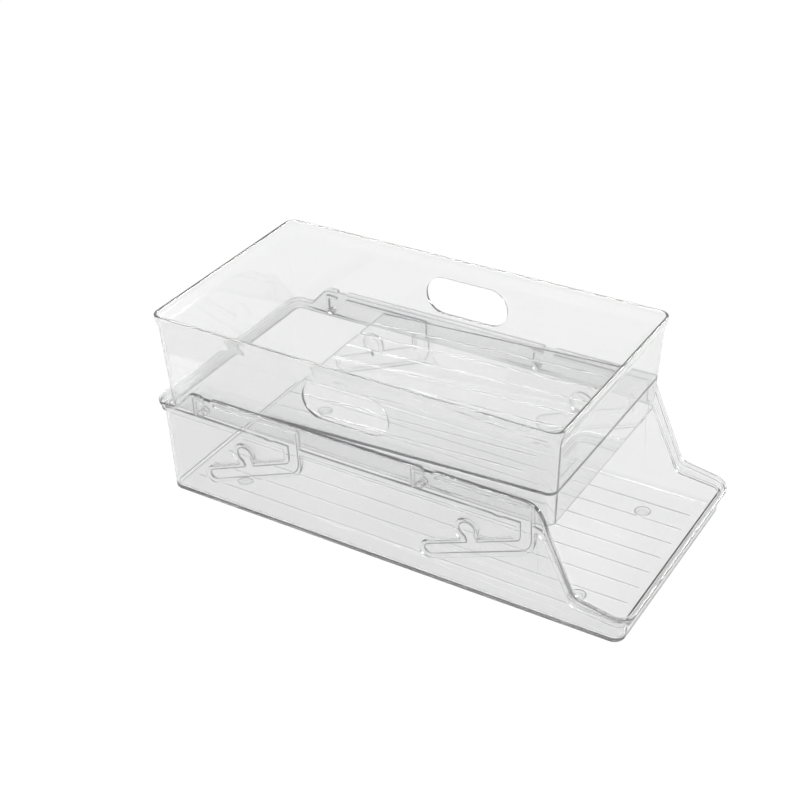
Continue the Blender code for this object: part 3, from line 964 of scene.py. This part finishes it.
# %% Bin sizes
bin_rear = tray_rear + 0.0024
bin_front = tray_front - 0.0446
bin_half_width = tray_half_width - 0.0003
bin_height = 0.0702
bin_base = pin_height - 0.0036
bin_lean, bin_front_lean = 0.0026, 0.0042
bin_flare = 0.0015
bin_corner_radius = 0.0060
deck_rear = tray_rear + 0.0821
deck_rear_height = pin_height + pin_radius + 0.0059 + wall
deck_slope = radians(2.65)


def bin_ring(height, offset):
    """Gives the bin's ring at a height above its skirt, set out by an offset."""
    fall_share = 1 - height / bin_height
    rear = bin_rear + bin_lean * fall_share - offset
    front = bin_front - bin_front_lean * fall_share + offset
    half = bin_half_width - bin_lean * fall_share + offset
    return rounded_ring(rear, front, half, bin_corner_radius + offset, bin_base + height)


def flare_rows():
    """Lists the heights and offsets of the smooth S by which the bin's rim flares out."""
    start = bin_height - 0.0120
    end = bin_height - 0.0030
    shares = [step / arc_steps for step in range(arc_steps + 1)]
    return [(start + (end - start) * share, bin_flare * (1 - cos(pi * share)) / 2) for share in shares]


print("bin from", round(bin_rear, 4), "to", round(bin_front, 4))


# %% Bin walls and deck
def deck_height(x):
    """Gives the height of the deck's upper face at a place along X."""
    return deck_rear_height + (x - deck_rear) * tan(deck_slope)


rings = [bin_ring(0, 0)] + [bin_ring(*row) for row in flare_rows()] + [bin_ring(bin_height, bin_flare)]
hollow_rings = [bin_ring(-overrun, -wall)]
hollow_rings += [bin_ring(height, offset - wall) for height, offset in flare_rows()]
hollow_rings += [bin_ring(bin_height + overrun, bin_flare - wall)]
can_bin = solid_from("clear_bin", rings)
bin_hollow = solid_from("bin_hollow", hollow_rings)
deck_end = bin_front + overrun
slab_outline = [(x, deck_height(x) + rise) for x, rise in
                ((deck_rear, -wall), (deck_end, -wall), (deck_end, 0), (deck_rear, 0))]
cut_out(bin_hollow, side_solid("slab", slab_outline, -far_side, far_side))
cut_out(can_bin, bin_hollow)
print("bin walls:", len(can_bin.data.polygons), "faces")

# %% Hand holes and pin bores
hole_radius = 0.0138
hole_reach = 0.0320 - hole_radius
hole_x = (bin_rear + bin_front) / 2
hole_z = bin_base + 0.0410
hole_outline = []
for end in (1, -1):
    for step in range(round_steps + 1):
        angle = -end * pi / 2 + pi * step / round_steps
        hole_outline.append((hole_x + end * hole_reach + hole_radius * cos(angle), hole_z + hole_radius * sin(angle)))
cut_out(can_bin, side_solid("hand_holes", hole_outline, -far_side, far_side))

pin_neck_radius = 0.0018
for pin_x in pin_places.values():
    bore = circle_outline(pin_x, pin_height, pin_neck_radius + touch_gap)
    cut_out(can_bin, side_solid("pin_bore", bore, -far_side, far_side))
print("bin with holes:", len(can_bin.data.polygons), "faces")

# %% Bin edges
bin_top = bin_base + bin_height
round_edges(can_bin, lambda spot: abs(spot.z - bin_top) < rim_reach, 3)
print("bin rounded:", triangle_count(can_bin), "triangles")

# %% Deck ribs
deck_rib_start = deck_rear + rib_radius
deck_rib_end = bin_front - 0.0322
deck_ribs = lay_ribs("deck_ribs", (deck_rib_end - deck_rib_start) / cos(deck_slope), bin_plastic)
deck_middle_x = (deck_rib_start + deck_rib_end) / 2
deck_middle = Vector((deck_middle_x, 0, deck_height(deck_middle_x) + rib_rise - rib_radius))
joined(can_bin, move_mesh(deck_ribs, Matrix.Translation(deck_middle) @ Matrix.Rotation(-deck_slope, 4, "Y")))
finish_normals(can_bin)
can_bin.data.materials.clear()
can_bin.data.materials.append(bin_plastic)
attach(can_bin, "bin")
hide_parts("upper_bin")
print("bin:", triangle_count(can_bin), "triangles")

# %% [markdown]
# ## The guide pins
# Four short pegs carry the bin. Each has a barrel in the track, a thin neck in the bin's wall and
# a flat head inside. The barrel's end is hollow, as moulded pegs are, so that it doesn't sink in
# as it cools, and that hollow is the bright ring seen through the wall.

# %% Guide pins
def pin_profile():
    """Gives a pin's profile, from the barrel's end to the head's face, in distances across."""
    outside = bin_half_width - bin_lean + bin_lean * (pin_height + pin_radius - bin_base) / bin_height
    inside = outside - wall - bin_lean * 2 * pin_radius / bin_height
    tip = wall_inner(pin_height) + shoulder_step - touch_gap
    barrel = outside + touch_gap
    head = inside - touch_gap
    head_face = head - 0.0012
    hollow = pin_radius - 0.0013
    hollow_depth = 0.0020
    edge = 0.0004
    return [
        (0, tip - hollow_depth),
        (hollow, tip - hollow_depth),
        (hollow, tip - edge),
        (hollow + edge / 2, tip),
        (pin_radius - edge, tip),
        (pin_radius, tip - edge),
        (pin_radius, barrel + edge / 2),
        (pin_radius - edge / 2, barrel),
        (pin_neck_radius, barrel),
        (pin_neck_radius, head),
        (pin_radius - edge / 2, head),
        (pin_radius, head - edge / 2),
        (pin_radius, head_face + edge),
        (pin_radius - edge, head_face),
        (0, head_face),
    ]


barrel_rows = (4, 5, 6, 7)
for place, pin_x in pin_places.items():
    for hand, side in (("left", 1), ("right", -1)):
        pin = turned(f"clear_pin_{place}_{hand}", pin_profile(), barrel_rows)
        lay_down = Matrix.Translation((pin_x, 0, pin_height)) @ Matrix.Rotation(-side * pi / 2, 4, "X")
        move_mesh(pin, lay_down)
        pin.data.materials.append(pin_plastic)
        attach(pin, "bin")
        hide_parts(f"guide_pin_{place}_{hand}")
print("pins:", 2 * len(pin_places))

# %% [markdown]
# ## The pads
# Round pads of soft clear rubber sit in shallow seats under the floor. Each has a dimple below, so
# that it stands on a ring. Seen through the floor, the ring and the dimple show as two circles.

# %% Pads
def pad_profile():
    """Gives a pad's profile, from the middle of its top to the middle of its dimple."""
    dimple = 0.0028
    dimple_depth = 0.0007
    edge = 0.0009
    return [
        (0, foot_thickness),
        (foot_radius - edge, foot_thickness),
        (foot_radius, foot_thickness - edge),
        (foot_radius, edge),
        (foot_radius - edge, 0),
        (dimple + edge / 2, 0),
        (dimple, edge / 3),
        (dimple, dimple_depth),
        (0, dimple_depth),
    ]


for name, (x, y) in foot_places.items():
    pad = turned(f"clear_pad_{name}", pad_profile())
    move_mesh(pad, Matrix.Translation((x, y, 0)))
    pad.data.materials.append(foot_pad)
    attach(pad, "tray")
    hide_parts(f"foot_{name}")
print("pads:", len(foot_places))
